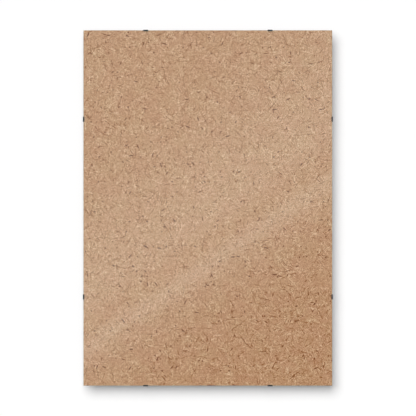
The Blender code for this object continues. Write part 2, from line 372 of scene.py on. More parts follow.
def sheet_tone(tree, sheet):
    """All fibre layers added up about the middle tone, stronger in busy areas, on soft mottling."""
    tone = 0.0
    for i, (spacing, length, width, share, bend, strand, streak) in enumerate(FIBRE_LAYERS):
        layer = place_group(
            tree,
            fibre_group,
            Sheet=sheet,
            Spacing=spacing * MM,
            Length=length * MM,
            Width=width * MM,
            Share=share,
            Bend=bend,
            Seed=SEED_STEP * (i + 1),
        )
        # A strand counts half to one and a half times what its layer says.
        weight = calc(tree, "MULTIPLY_ADD", layer["Shade"], strand, strand * 0.5)
        tone = calc(tree, "MULTIPLY_ADD", layer["Strand"], weight, tone)
        if streak:
            tone = calc(tree, "MULTIPLY_ADD", layer["Streak"], streak, tone)
    busy = soft_step(tree, cloud(tree, sheet, BUSY_SCALE), *MIDDLE_PART)
    tone = calc(tree, "MULTIPLY", tone, calc(tree, "MULTIPLY_ADD", busy, BUSIER, CALM))
    mottle = calc(tree, "SUBTRACT", cloud(tree, sheet, MOTTLE_SCALE), 0.5)
    tone = calc(tree, "MULTIPLY_ADD", mottle, MOTTLE, tone)
    patches = calc(tree, "SUBTRACT", cloud(tree, sheet, PATCH_SCALE, 3.0), 0.5)
    return calc(tree, "MULTIPLY_ADD", patches, PATCHES, calc(tree, "ADD", tone, MIDDLE_TONE))


print(len(FIBRE_LAYERS), "fibre layers")

# %% Hardboard edges and colours
SCREEN_PITCH = 2.2 * MM
# How fast the sawn layers change along an edge and through the board, in blobs to the metre.
LAYERS_ALONG = 40.0
LAYERS_THROUGH = 2600.0
LAYER_CONTRAST = 0.9
LAYER_SHADE = -0.62


def screen_print(tree, x, z):
    """The wire screen's print: two crossed waves, multiplied."""
    wave_x = calc(tree, "SINE", calc(tree, "MULTIPLY", x, math.tau / SCREEN_PITCH))
    wave_z = calc(tree, "SINE", calc(tree, "MULTIPLY", z, math.tau / SCREEN_PITCH))
    return calc(tree, "MULTIPLY", wave_x, wave_z)


def sawn_layers(tree, x, y, z):
    """The layers of the mat on a sawn edge: noise squeezed through the board, mostly below 0."""
    stretched = join(
        tree,
        calc(tree, "MULTIPLY", x, LAYERS_ALONG),
        calc(tree, "MULTIPLY", y, LAYERS_THROUGH),
        calc(tree, "MULTIPLY", z, LAYERS_ALONG),
    )
    return calc(tree, "MULTIPLY_ADD", cloud(tree, stretched, 1.0, 3.0), LAYER_CONTRAST, LAYER_SHADE)


def tone_to_colour(tree, tone):
    """A colour ramp through TONE_COLOURS. The ramp runs from 0 to 1, so the tones are scaled to that."""
    darkest = TONE_COLOURS[0][0]
    tone_span = TONE_COLOURS[-1][0] - darkest
    ramp = add_node(tree, "ShaderNodeValToRGB")
    stops = ramp.color_ramp.elements
    while len(stops) < len(TONE_COLOURS):
        stops.new(0.5)
    for stop, (stop_tone, colour) in zip(stops, TONE_COLOURS):
        stop.position = (stop_tone - darkest) / tone_span
        stop.color = (*colour, 1.0)
    feed(tree, ramp.inputs[0], calc(tree, "MULTIPLY_ADD", tone, 1.0 / tone_span, -darkest / tone_span))
    return ramp.outputs[0]


print("tones", TONE_COLOURS[0][0], "to", TONE_COLOURS[-1][0])

# %% Hardboard material
# How far fibres wander, and the scales of the noise that moves them sideways and up.
FIBRE_DRIFT = 2 * MM
DRIFT_SCALES = (45.0, 52.0)
BACK_SHIFT = 0.83
# The fibre's contrast on a sawn edge, as a share of that on a face.
EDGE_CONTRAST = 0.25
# How much the screen's print shades the tone, and how much torn fibre lightens it.
PRINT_SHADE = 0.04
TORN_PALE = 0.7
# A spot counts as milled from the first of these depths on, and wholly from the second.
MILLED_FROM = 0.1 * MM
MILLED_WHOLLY = 0.3 * MM
YELLOWER = (1.0, 1.02, 0.985, 1.0)
REDDER = (1.0, 0.975, 0.965, 1.0)
# The scales of the noise for torn fibre, redder patches and the pulp's own relief.
TORN_SCALE = 1400.0
REDNESS_SCALE = 17.0
PULP_SCALE = 420.0
TORN_LEVEL = 0.35
TORN_HEIGHT = 2.0
# Roughness at a tone of 0, and how much a tone of 1 adds.
DARK_ROUGHNESS = 0.55
PALE_ROUGHER = 0.2
BOARD_GLOSS = 0.25
RELIEF_STRENGTH = 0.35
RELIEF_DEPTH = 0.2 * MM


def make_hardboard():
    """Fibre all over, a screen print on the back, torn fibre in the pockets and layers on the edges."""
    material, tree, shader = new_material("hardboard")
    place = add_node(tree, "ShaderNodeTexCoord")
    spot = place.outputs["Object"]
    x, y, z = split(tree, spot)
    facing = split(tree, place.outputs["Normal"])[1]
    on_face = soft_step(tree, calc(tree, "ABSOLUTE", facing), *MIDDLE_PART)
    on_back = soft_step(tree, facing, *MIDDLE_PART)

    # Fibres wander: the sheet is pulled about a little before the strokes are drawn on it.
    drift_x, drift_z = (
        calc(tree, "MULTIPLY", calc(tree, "SUBTRACT", cloud(tree, spot, scale), 0.5), FIBRE_DRIFT)
        for scale in DRIFT_SCALES
    )
    # The back is another face of the mat, so its pattern is shifted.
    aside = calc(tree, "MULTIPLY", on_back, BACK_SHIFT)
    sheet = join(tree, total(tree, x, drift_x, aside), calc(tree, "ADD", z, drift_z), 0.0)
    fibre = calc(tree, "SUBTRACT", sheet_tone(tree, sheet), MIDDLE_TONE)
    print_height = calc(tree, "MULTIPLY", screen_print(tree, x, z), on_back)

    # Milled pockets lie below the back, and the cutter tears the fibre there.
    below_back = soft_step(tree, y, board_high.y - MILLED_FROM, board_high.y - MILLED_WHOLLY)
    milled = calc(tree, "MULTIPLY", below_back, on_back)
    fuzz = calc(tree, "SUBTRACT", cloud(tree, spot, TORN_SCALE, 3.0), TORN_LEVEL)
    torn = calc(tree, "MULTIPLY", fuzz, milled)

    # Sawn edges show the layers of the mat as thin lines, and less of the fibre.
    on_edge = calc(tree, "SUBTRACT", 1.0, on_face)
    contrast = calc(tree, "MULTIPLY_ADD", on_face, 1.0 - EDGE_CONTRAST, EDGE_CONTRAST)
    tone = total(
        tree,
        calc(tree, "MULTIPLY_ADD", fibre, contrast, MIDDLE_TONE),
        calc(tree, "MULTIPLY", print_height, PRINT_SHADE),
        calc(tree, "MULTIPLY", torn, TORN_PALE),
        calc(tree, "MULTIPLY", sawn_layers(tree, x, y, z), on_edge),
    )

    # Some patches of pulp are redder, some more yellow.
    redness = soft_step(tree, cloud(tree, sheet, REDNESS_SCALE), *MIDDLE_PART)
    warm = mix_colours(tree, redness, YELLOWER, REDDER)
    colour = mix_colours(tree, 1.0, tone_to_colour(tree, tone), warm, "MULTIPLY")
    feed(tree, shader.inputs["Base Color"], colour)
    roughness = calc(tree, "MULTIPLY_ADD", tone, PALE_ROUGHER, DARK_ROUGHNESS)
    feed(tree, shader.inputs["Roughness"], roughness)
    shader.inputs["Specular IOR Level"].default_value = BOARD_GLOSS

    relief = add_node(tree, "ShaderNodeBump")
    relief.inputs["Strength"].default_value = RELIEF_STRENGTH
    relief.inputs["Distance"].default_value = RELIEF_DEPTH
    pulp = cloud(tree, spot, PULP_SCALE, 4.0, 0.6)
    pulp = calc(tree, "ADD", pulp, calc(tree, "MULTIPLY", torn, TORN_HEIGHT))
    feed(tree, relief.inputs["Height"], calc(tree, "ADD", pulp, print_height))
    feed(tree, shader.inputs["Normal"], relief.outputs[0])
    return material


hardboard = make_hardboard()
frame["nodes"]["back_board"].material_slots[0].material = hardboard
print("hardboard:", len(hardboard.node_tree.nodes), "nodes")

# %% [markdown]
# ## Glass
#
# Float glass is clear through its face and green through its edge, and its edges are ground so that
# they don't cut. The Principled shader with full transmission gives the pane its true reflections, one
# from each face. Lamps can't find a way through a bending surface by chance, so for shadow rays and for
# scattered light the material turns into plain see-through, a little darker than nothing at all.

# %% Glass material
GLASS_IOR = 1.52
FACE_CLEAR = (0.985, 0.995, 0.99, 1.0)
EDGE_GREEN = (0.40, 0.86, 0.66, 1.0)
PASSED_LIGHT = (0.91, 0.925, 0.92, 1.0)
# How squarely a spot has to face front or back to count as one of the pane's faces.
FACE_RANGE = (0.8, 0.95)
WIPE_SCALE = 9.0
WIPE_RANGE = (0.55, 0.8)
WIPE_ROUGHNESS = 0.012
GROUND_SCALE = 900.0
GROUND_ROUGHNESS = 0.6
GROUND_VARIES = 0.25


def make_glass():
    """Clear glass with faint wiping marks on its faces and a rough green edge."""
    material, tree, shader = new_material("float_glass")
    place = add_node(tree, "ShaderNodeTexCoord")
    facing = calc(tree, "ABSOLUTE", split(tree, place.outputs["Normal"])[1])
    on_face = soft_step(tree, facing, *FACE_RANGE)
    wiped = soft_step(tree, cloud(tree, place.outputs["Object"], WIPE_SCALE, 4.0), *WIPE_RANGE)
    grit = cloud(tree, place.outputs["Object"], GROUND_SCALE)
    ground = calc(tree, "MULTIPLY_ADD", grit, GROUND_VARIES, GROUND_ROUGHNESS)
    face_roughness = calc(tree, "MULTIPLY", wiped, WIPE_ROUGHNESS)
    roughness = add_node(tree, "ShaderNodeMix", data_type="FLOAT")
    feed(tree, roughness.inputs[0], on_face)
    feed(tree, roughness.inputs[2], ground)
    feed(tree, roughness.inputs[3], face_roughness)
    feed(tree, shader.inputs["Roughness"], roughness.outputs[0])
    feed(tree, shader.inputs["Base Color"], mix_colours(tree, on_face, EDGE_GREEN, FACE_CLEAR))
    shader.inputs["Transmission Weight"].default_value = 1.0
    shader.inputs["IOR"].default_value = GLASS_IOR

    see_through = add_node(tree, "ShaderNodeBsdfTransparent")
    see_through.inputs["Color"].default_value = PASSED_LIGHT
    rays = add_node(tree, "ShaderNodeLightPath")
    surface = shader.outputs[0]
    for kind in ("Is Diffuse Ray", "Is Shadow Ray"):
        mix = add_node(tree, "ShaderNodeMixShader")
        feed(tree, mix.inputs[0], rays.outputs[kind])
        feed(tree, mix.inputs[1], surface)
        feed(tree, mix.inputs[2], see_through.outputs[0])
        surface = mix.outputs[0]
    feed(tree, tree.nodes["Material Output"].inputs["Surface"], surface)
    return material


float_glass = make_glass()
frame["nodes"]["glass_pane"].material_slots[0].material = float_glass
print("glass:", len(float_glass.node_tree.nodes), "nodes")

# %% [markdown]
# ## Bent strips
#
# The clips and the hangers are both strips of sheet steel, bent across their length. The solid model has
# them with few faces. Here they are worked out finer: a bend line of straight runs and arcs, and a
# rounded rectangle carried along it, which is the strip's section. The section's two ends across the
# strip can move as it goes, which gives a taper, a round tip or a row of teeth.
#
# Every point also remembers how far along and across the strip it is and how near an edge, so that the
# steel's grain and wear can follow the strip round its bends.

# %% Bend line
ARC_STEP = math.radians(6.0)


def bend_line(corners, step):
    """Points along a path in a plane, and their unit normals.

    corners holds (x, y, radius). A corner that turns by t is cut back by radius * tan(t / 2) on both
    sides, and an arc of that radius joins the cuts. Straight runs are filled at the given step."""
    at = np.array([corner[:2] for corner in corners], float)
    radius = np.array([corner[2] for corner in corners], float)
    way = np.diff(at, axis=0)
    way /= np.linalg.norm(way, axis=1)[:, None]
    turn = np.arctan2(way[:-1, 0] * way[1:, 1] - way[:-1, 1] * way[1:, 0], (way[:-1] * way[1:]).sum(1))
    cut = np.zeros(len(at))
    cut[1:-1] = radius[1:-1] * np.tan(np.abs(turn) / 2)
    points = []
    for i, heading in enumerate(way):
        start = at[i] + heading * cut[i]
        end = at[i + 1] - heading * cut[i + 1]
        count = max(2, int(np.ceil(np.linalg.norm(end - start) / step)) + 1)
        points.append(start + (end - start) * np.linspace(0, 1, count)[:, None])
        if i < len(turn):
            side = np.sign(turn[i])
            middle = end + np.array([-heading[1], heading[0]]) * side * radius[i + 1]
            count = max(5, int(np.ceil(abs(turn[i]) / ARC_STEP)))
            swept = np.linspace(0, turn[i], count + 1)[1:-1]
            arm = end - middle
            arc_x = arm[0] * np.cos(swept) - arm[1] * np.sin(swept)
            arc_y = arm[0] * np.sin(swept) + arm[1] * np.cos(swept)
            points.append(middle + np.stack([arc_x, arc_y], 1))
    path = np.concatenate(points)
    ahead = np.gradient(path, axis=0)
    ahead /= np.linalg.norm(ahead, axis=1)[:, None]
    return path, np.stack([-ahead[:, 1], ahead[:, 0]], 1)


print(f"arcs step by {math.degrees(ARC_STEP):.0f} degrees or less")

# %% Strip section
CORNER_STEPS = 4
# Where the two wide faces have points of their own, as shares of the width, for the wear to end at.
FACE_SHARES = (0.94, 0.5, 0.06)


def section_ring(thick, edge_radius):
    """One section of a strip, as three numbers for each of its points.

    Going round, each of the four corners is a quarter circle of angles p. Its points lie
    edge_radius * cos(p) out across the strip, and edge_radius * sin(p) beyond the corner's middle in
    depth. Between the corners, the two wide faces have points at shares of the width.
    Returns share (0 low side, 1 high side), bulge and depth."""
    quarter = np.linspace(0, math.pi / 2, CORNER_STEPS)
    face = np.array(FACE_SHARES)
    flat = np.zeros(len(face))
    middle = thick / 2 - edge_radius
    share, bulge, depth = [], [], []
    for turn, side, sign in ((0, 1, 1), (1, 0, 1), (2, 0, -1), (3, 1, -1)):
        angle = quarter + turn * math.pi / 2
        share.append(np.full(CORNER_STEPS, float(side)))
        bulge.append(edge_radius * np.cos(angle))
        depth.append(sign * middle + edge_radius * np.sin(angle))
        if turn in (0, 2):
            share.append(face if sign > 0 else face[::-1])
            bulge.append(flat)
            depth.append(flat + sign * thick / 2)
    return np.concatenate(share), np.concatenate(bulge), np.concatenate(depth)


print(4 * CORNER_STEPS + 2 * len(FACE_SHARES), "points to a section")

# %% Strip surface
SHARP_ANGLE = math.radians(40.0)


def strip_surface(path, normal, low, high, thick, edge_radius):
    """A closed strip: a rounded rectangle carried along a bend line.

    Point k of section i lies at path[i] + normal[i] * depth[k] and, across the strip, between low[i] and
    high[i] at its share of the width, plus its bulge. Two points that face each other through the strip
    have numbers that add up to the same sum, which gives the quads of its two ends.
    Returns points (the path's x and y, then across), faces and the strip's own coordinates."""
    share, bulge, depth = section_ring(thick, edge_radius)
    inner_low = (low + edge_radius)[:, None]
    inner_high = (high - edge_radius)[:, None]
    across = inner_low + share * (inner_high - inner_low) + bulge
    flat = path[:, None, :] + normal[:, None, :] * depth[None, :, None]
    points = np.concatenate([flat, across[:, :, None]], 2)
    rows, ring = across.shape
    here = np.arange(rows * ring).reshape(rows, ring)
    nearby = np.roll(here, -1, 1)
    sides = np.stack([here[:-1], here[1:], nearby[1:], nearby[:-1]], -1).reshape(-1, 4)
    first = np.arange(ring // 2 - 1)
    end = np.stack([first, first + 1, ring - 2 - first, ring - 1 - first], 1)
    faces = np.concatenate([sides, here[0][end], here[-1][end[:, ::-1]]])
    run = np.concatenate([[0.0], np.cumsum(np.linalg.norm(np.diff(path, axis=0), axis=1))])
    along = np.repeat(run[:, None], ring, 1)
    inner = np.minimum(high[:, None] - across, across - low[:, None])
    ends = np.minimum(along, run[-1] - along)
    to_edge = np.minimum(np.maximum(inner, 0.0), ends)
    return points.reshape(-1, 3), faces, along.ravel(), across.ravel(), to_edge.ravel()


def link_object(name, mesh):
    """A mesh put into the scene, at the origin."""
    made = bpy.data.objects.new(name, mesh)
    bpy.context.scene.collection.objects.link(made)
    return made


def strip_piece(name, surface, carry):
    """A mesh object of a strip. carry turns its points into the frame's own coordinates."""
    points, faces, along, across, to_edge = surface
    mesh = bpy.data.meshes.new(name)
    mesh.from_pydata(carry(points), [], faces.tolist())
    for label, values in (("along", along), ("across", across), ("to_edge", to_edge)):
        attribute = mesh.attributes.new(label, "FLOAT", "POINT")
        attribute.data.foreach_set("value", values.astype(np.float32))
    mesh.shade_smooth()
    mesh.set_sharp_from_angle(angle=SHARP_ANGLE)
    mesh.update()
    return link_object(name, mesh)


print("strip tools ready")

# %% [markdown]
# ## Steel, shared by clips and hangers
#
# Two things make sheet steel look like steel. Rolling leaves fine lines along the strip, and handling
# rubs the finish off its edges. Each is a node group, so the dark clips and the bright hangers use the
# same grain and wear with values of their own.

# %% Grain and wear groups
GRAIN_STRETCH = 100.0
# How uneven the rubbed edge is, and the share of its reach where the finish is wholly gone.
WEAR_SCALE = 700.0
WEAR_SPREAD = 2.0
WEAR_BARE = 0.3


def make_grain_group():
    """Fine lines along a strip: noise that is stretched GRAIN_STRETCH times along it."""
    tree, entry, exit_inputs = new_group(
        "rolled_grain",
        [
            ("Along", "NodeSocketFloat", 0.0),
            ("Across", "NodeSocketFloat", 0.0),
            ("Fineness", "NodeSocketFloat", 3000.0),
        ],
        ["Grain"],
    )
    stretched = calc(tree, "MULTIPLY", entry["Fineness"], 1.0 / GRAIN_STRETCH)
    lines = join(
        tree,
        calc(tree, "MULTIPLY", entry["Along"], stretched),
        calc(tree, "MULTIPLY", entry["Across"], entry["Fineness"]),
        0.0,
    )
    feed(tree, exit_inputs["Grain"], cloud(tree, lines, 1.0, 3.0))
    return tree


def make_wear_group():
    """Rubbed edges: 1 near an edge, and 0 beyond a reach that noise makes uneven."""
    tree, entry, exit_inputs = new_group(
        "edge_wear",
        [
            ("Spot", "NodeSocketVector", (0.0, 0.0, 0.0)),
            ("To Edge", "NodeSocketFloat", 1.0),
            ("Reach", "NodeSocketFloat", 0.0005),
        ],
        ["Worn"],
    )
    uneven = calc(tree, "MULTIPLY", cloud(tree, entry["Spot"], WEAR_SCALE, 4.0, 0.65), WEAR_SPREAD)
    reach = calc(tree, "MULTIPLY", entry["Reach"], uneven)
    near = soft_step(tree, entry["To Edge"], reach, calc(tree, "MULTIPLY", reach, WEAR_BARE))
    feed(tree, exit_inputs["Worn"], near)
    return tree


grain_group = make_grain_group()
wear_group = make_wear_group()
print("grain and wear groups ready")

# %% Steel materials
# How much the rolled lines darken and roughen the steel, and how much smoother a rubbed edge is.
GRAIN_SHADE = 0.35
GRAIN_ROUGHNESS = 0.2
RUBBED = -0.08
GRAIN_RELIEF = 0.05 * MM
# The finish's cloudy patches: the noise's scale, and where one shade turns into the other.
CLOUDY_SCALE = 260.0
CLOUDY_RANGE = (0.35, 0.65)


def strip_value(tree, label):
    """A number that the strip's points carry."""
    return add_node(tree, "ShaderNodeAttribute", attribute_name=label).outputs["Fac"]


def make_steel(name, finish, patch_finish, bare, wear_reach, roughness, grain_depth):
    """Finished steel: two shades of the finish in cloudy patches, rolled lines, and bare rubbed edges."""
    material, tree, shader = new_material(name)
    spot = add_node(tree, "ShaderNodeTexCoord").outputs["Object"]
    along = strip_value(tree, "along")
    across = strip_value(tree, "across")
    grain = place_group(tree, grain_group, Along=along, Across=across)["Grain"]
    wear = {"Spot": spot, "To Edge": strip_value(tree, "to_edge"), "Reach": wear_reach}
    worn = place_group(tree, wear_group, **wear)["Worn"]
    patches = soft_step(tree, cloud(tree, spot, CLOUDY_SCALE, 3.0), *CLOUDY_RANGE)
    colour = mix_colours(tree, patches, finish, patch_finish)
    lined = mix_colours(tree, calc(tree, "MULTIPLY", grain, GRAIN_SHADE), colour, (0.0, 0.0, 0.0, 1.0))
    feed(tree, shader.inputs["Base Color"], mix_colours(tree, worn, lined, bare))
    varied = calc(tree, "MULTIPLY_ADD", grain, GRAIN_ROUGHNESS, roughness)
    feed(tree, shader.inputs["Roughness"], calc(tree, "MULTIPLY_ADD", worn, RUBBED, varied))
    shader.inputs["Metallic"].default_value = 1.0
    relief = add_node(tree, "ShaderNodeBump")
    relief.inputs["Strength"].default_value = grain_depth
    relief.inputs["Distance"].default_value = GRAIN_RELIEF
    feed(tree, relief.inputs["Height"], grain)
    feed(tree, shader.inputs["Normal"], relief.outputs[0])
    return material


blued_steel = make_steel(
    "blued_steel",
    finish=(0.072, 0.082, 0.096, 1.0),
    patch_finish=(0.088, 0.090, 0.094, 1.0),
    bare=(0.34, 0.34, 0.34, 1.0),
    wear_reach=0.25 * MM,
    roughness=0.30,
    grain_depth=0.25,
)
zinc_plate = make_steel(
    "zinc_plate",
    finish=(0.80, 0.80, 0.78, 1.0),
    patch_finish=(0.70, 0.70, 0.67, 1.0),
    bare=(0.88, 0.87, 0.85, 1.0),
    wear_reach=0.3 * MM,
    roughness=0.22,
    grain_depth=0.2,
)
print("steel:", blued_steel.name, zinc_plate.name)

# %% [markdown]
# ## The clips
#
# Each clip is one strip: a lip on the glass, a web past the edge, a bowed leg behind the board, a hook
# in the board's pocket and a finger tab to lift it by. Its hinge is at the tip of its lip, and the record
# says where that is for each of the eight and which way its axis runs. So the strip is worked out once,
# as distances out from the hinge and back from it, and carried to each place.

# %% Clip measures
CLIP_THICK = 0.6 * MM
CLIP_HALF_WIDTH = 7.0 * MM
CLIP_HALF_TIP = 5.5 * MM
CLIP_TIP_RADIUS = 3.5 * MM
CLIP_EDGE = 0.12 * MM
CLIP_LIP = 2.3 * MM
CLIP_STAND_OFF = 1.0 * MM
CLIP_LEG_GAP = 0.6 * MM
CLIP_BOW = 1.2 * MM
HOOK_SETBACK = 24.5 * MM
HOOK_REACH = 3.5 * MM
HOOK_DEPTH = 1.0 * MM
TAB_LENGTH = 4.0 * MM
TAB_LIFT = 1.4 * MM
SEAT_GAP = 0.3 * MM
CLIP_STEP = 0.35 * MM

web = CLIP_LIP + CLIP_STAND_OFF + CLIP_THICK / 2
board_back = board_high.y - (glass_low.y - SEAT_GAP)
leg = board_back + CLIP_LEG_GAP + CLIP_THICK / 2
hook = CLIP_LIP - HOOK_SETBACK
tab_end = hook - HOOK_REACH - TAB_LENGTH
# Each corner's distance out and back, and its bend's radius.
clip_corners = (
    (0.0, -CLIP_THICK / 2, 0.0),
    (web, -CLIP_THICK / 2, 0.8 * MM),
    (web, leg, 1.2 * MM),
    ((web + hook) / 2, leg + CLIP_BOW, 40.0 * MM),
    (hook + HOOK_REACH, leg, 1.5 * MM),
    (hook, board_back - HOOK_DEPTH, 0.9 * MM),
    (hook - HOOK_REACH, leg, 2.5 * MM),
    (tab_end, leg + TAB_LIFT, 0.0),
)
clip_path, clip_normal = bend_line(clip_corners, CLIP_STEP)
print(f"clip: {len(clip_path)} sections, {abs(tab_end) / MM:.1f} mm from lip to tab")


# %% Clip pieces
def clip_half_width(out):
    """Half the strip's width at a distance out from the hinge.

    It is full outside the hinge and tapers in a straight line down the leg. The tip is round: the half
    width loses what a quarter circle leaves out of its square."""
    straight = np.interp(out, [hook + HOOK_REACH, 0.0], [CLIP_HALF_TIP, CLIP_HALF_WIDTH])
    from_tip = np.clip(out - tab_end, 0.0, CLIP_TIP_RADIUS)
    missing = CLIP_TIP_RADIUS - np.sqrt(CLIP_TIP_RADIUS**2 - (CLIP_TIP_RADIUS - from_tip) ** 2)
    return straight - missing


def clip_place(joint):
    """Carries strip points to one clip's place: the hinge, plus out, back and across times their axes."""
    hinge = np.array(joint["pos_m"])
    along_edge = np.array(joint["axis"], float)
    back = np.array([0.0, 1.0, 0.0])
    axes = np.stack([np.cross(along_edge, back), back, -along_edge])
    return lambda points: hinge + points @ axes


half = clip_half_width(clip_path[:, 0])
clip_surface = strip_surface(clip_path, clip_normal, -half, half, CLIP_THICK, CLIP_EDGE)
clips = []
for joint in frame["joints"]:
    body = joint["child"]
    clip = strip_piece(body + "_strip", clip_surface, clip_place(joint))
    clip.data.materials.append(blued_steel)
    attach(clip, body)
    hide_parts(body)
    clips.append(clip)
print(len(clips), "clips,", len(clips[0].data.polygons), "faces each")

# %% [markdown]
# ## The sawtooth hangers
#
# A hanger is a strip too: a raised bridge with a toothed lower edge, a step down to a tab at each end,
# and a pointed prong pressed into the board. The same strip surface makes it. Its lower edge follows the
# teeth along the bridge, and both edges draw in to the prongs' points.

# %% Hanger measures
HANGER_THICK = 0.8 * MM
HANGER_HALF_WIDTH = 4.5 * MM
HANGER_EDGE = 0.12 * MM
HANGER_RISE = 2.0 * MM
BRIDGE_HALF = 22.0 * MM
STEP_RUN = 2.2 * MM
TAB_RUN = 8.0 * MM
PRONG_DEPTH = 1.9 * MM
PRONG_SHOULDER = 0.4 * MM
PRONG_HALF_TIP = 0.6 * MM
TEETH_HALF = 18.0 * MM
TOOTH_PITCH = 4.0 * MM
TOOTH_DEPTH = 2.2 * MM
TOOTH_FLAT = 0.3 * MM
HANGER_STEP = 0.25 * MM

tab_middle = -(HANGER_RISE + HANGER_THICK / 2)
prong = BRIDGE_HALF + STEP_RUN + TAB_RUN
prong_tip = board_high.y - PRONG_DEPTH
right_half = (
    (BRIDGE_HALF, -HANGER_THICK / 2, 0.9 * MM),
    (BRIDGE_HALF + STEP_RUN, tab_middle, 0.9 * MM),
    (prong, tab_middle, 0.7 * MM),
    (prong, prong_tip, 0.0),
)
left_half = tuple((-x, y, radius) for x, y, radius in reversed(right_half))
hanger_path, hanger_normal = bend_line(left_half + right_half, HANGER_STEP)
print(f"hanger: {len(hanger_path)} sections, {2 * prong / MM:.1f} mm long")


# %% Hanger pieces
def hanger_edges(path):
    """The strip's lower and upper edge at each section.

    A notch rises by its depth over half a pitch, and starts a little below the edge, which leaves each
    tooth a flat tip. The prongs narrow with depth."""
    x, y = path.T
    shoulder = board_high.y - PRONG_SHOULDER
    half_width = np.interp(y, [prong_tip - SEAT_GAP, shoulder], [PRONG_HALF_TIP, HANGER_HALF_WIDTH])
    in_pitch = np.mod(x + TEETH_HALF, TOOTH_PITCH)
    rise = 1.0 - np.abs(in_pitch - TOOTH_PITCH / 2) / (TOOTH_PITCH / 2)
    notch = np.maximum(0.0, rise * (TOOTH_DEPTH + TOOTH_FLAT) - TOOTH_FLAT)
    return np.where(np.abs(x) < TEETH_HALF, notch, 0.0) - half_width, half_width


hanger_low, hanger_high = hanger_edges(hanger_path)
hanger_surface = strip_surface(
    hanger_path, hanger_normal, hanger_low, hanger_high, HANGER_THICK, HANGER_EDGE
)
side_low, side_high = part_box("hanger_side")
side_middle = np.array([(side_low.x + side_high.x) / 2, 0.0, (side_low.z + side_high.z) / 2])
hanger_places = {
    "hanger_top": lambda p: p,
    "hanger_side": lambda p: side_middle + np.stack([p[:, 2], p[:, 1], -p[:, 0]], 1),
}
for node, carry in hanger_places.items():
    hanger = strip_piece(node + "_strip", hanger_surface, carry)
    hanger.data.materials.append(zinc_plate)
    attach(hanger, "frame")
    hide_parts(node)
    print(hanger.name, len(hanger.data.polygons), "faces")

# %% [markdown]
# ## The backdrop
#
# A white paper sweep hangs a little behind the frame and curves forward into the floor. It takes the
# frame's soft shadow. Seen from behind it isn't there, so the back of the frame can be looked at: its
# material turns see-through on its back side, and for shadow rays, so that lamps behind it reach the
# board's back. The hangers would mirror its shaded front, so reflected rays pass it too and meet the
# white surroundings.

# %% Paper sweep
# The profile is an upright line, a quarter circle and the floor's line, and it is carried sideways.
SWEEP_Y = 36 * MM
SWEEP_TOP = 2.2
SWEEP_FLOOR = -1.55
SWEEP_FRONT = -2.4
SWEEP_BEND = 0.35
SWEEP_HALF = 3.0

bend_angle = np.linspace(0, math.pi / 2, 17)
sweep_y = np.concatenate(
    [[SWEEP_Y], SWEEP_Y - SWEEP_BEND + SWEEP_BEND * np.cos(bend_angle), [SWEEP_FRONT]]
)
sweep_z = np.concatenate(
    [[SWEEP_TOP], SWEEP_FLOOR + SWEEP_BEND - SWEEP_BEND * np.sin(bend_angle), [SWEEP_FLOOR]]
)
sweep_x = np.linspace(-SWEEP_HALF, SWEEP_HALF, 13)
grid_x, grid_y = np.meshgrid(sweep_x, sweep_y)
grid_z = np.repeat(sweep_z[:, None], len(sweep_x), 1)
spots = np.stack([grid_x, grid_y, grid_z], -1).reshape(-1, 3)
index = np.arange(len(spots)).reshape(grid_x.shape)
paper_quads = np.stack([index[:-1, :-1], index[1:, :-1], index[1:, 1:], index[:-1, 1:]], -1)
paper_mesh = bpy.data.meshes.new("paper_sweep")
paper_mesh.from_pydata(spots, [], paper_quads.reshape(-1, 4).tolist())
paper_mesh.shade_smooth()
paper = link_object("paper_sweep", paper_mesh)
paper.visible_diffuse = False
paper.visible_glossy = False
print("sweep faces the frame:", paper_mesh.polygons[0].normal.y < 0)

# %% Paper material
PAPER_SHADE = 0.78
PAPER_GLOW = 0.22
FLOOR_GLOW = 0.43
# Where the floor's glow starts to grow, as a share of the way forward round the bend.
GLOW_START = 0.3


def make_paper():
    """Matt paper that also glows a little for the rays that show it, so it is white and its shadow soft.

    The floor lies at a flat angle to the lamp and gets less light, so the glow grows round the bend."""
    material, tree, shader = new_material("sweep_paper")
    tree.nodes.remove(shader)
    rays = add_node(tree, "ShaderNodeLightPath").outputs
    matt = add_node(tree, "ShaderNodeBsdfDiffuse")
    matt.inputs["Color"].default_value = (PAPER_SHADE, PAPER_SHADE, PAPER_SHADE, 1.0)
    glow = add_node(tree, "ShaderNodeEmission")
    shown = calc(tree, "MAXIMUM", rays["Is Camera Ray"], rays["Is Transmission Ray"])
    y = split(tree, add_node(tree, "ShaderNodeTexCoord").outputs["Object"])[1]
    floor = soft_step(tree, y, SWEEP_Y - GLOW_START * SWEEP_BEND, SWEEP_Y - SWEEP_BEND)
    level = calc(tree, "MULTIPLY_ADD", floor, FLOOR_GLOW, PAPER_GLOW)
    feed(tree, glow.inputs["Strength"], calc(tree, "MULTIPLY", shown, level))
    both = add_node(tree, "ShaderNodeAddShader")
    feed(tree, both.inputs[0], matt.outputs[0])
    feed(tree, both.inputs[1], glow.outputs[0])
    gone = add_node(tree, "ShaderNodeBsdfTransparent")
    behind = add_node(tree, "ShaderNodeNewGeometry").outputs["Backfacing"]
    surface = both.outputs[0]
    for share in (behind, rays["Is Shadow Ray"]):
        mix = add_node(tree, "ShaderNodeMixShader")
        feed(tree, mix.inputs[0], share)
        feed(tree, mix.inputs[1], surface)
        feed(tree, mix.inputs[2], gone.outputs[0])
        surface = mix.outputs[0]
    feed(tree, tree.nodes["Material Output"].inputs["Surface"], surface)
    return material


paper_mesh.materials.append(make_paper())
print("paper shade", PAPER_SHADE, "glow", PAPER_GLOW)

# %% [markdown]
# ## A black flag
#
# The lamp that shows the frame's back also bounces brown light from the board on to the paper, right
# where the shadow should be. Photographers hold a black card there, a flag. This one hangs between the
# frame and the paper, and only scattered light meets it.

# %% Flag
FLAG_Y = 1 * MM


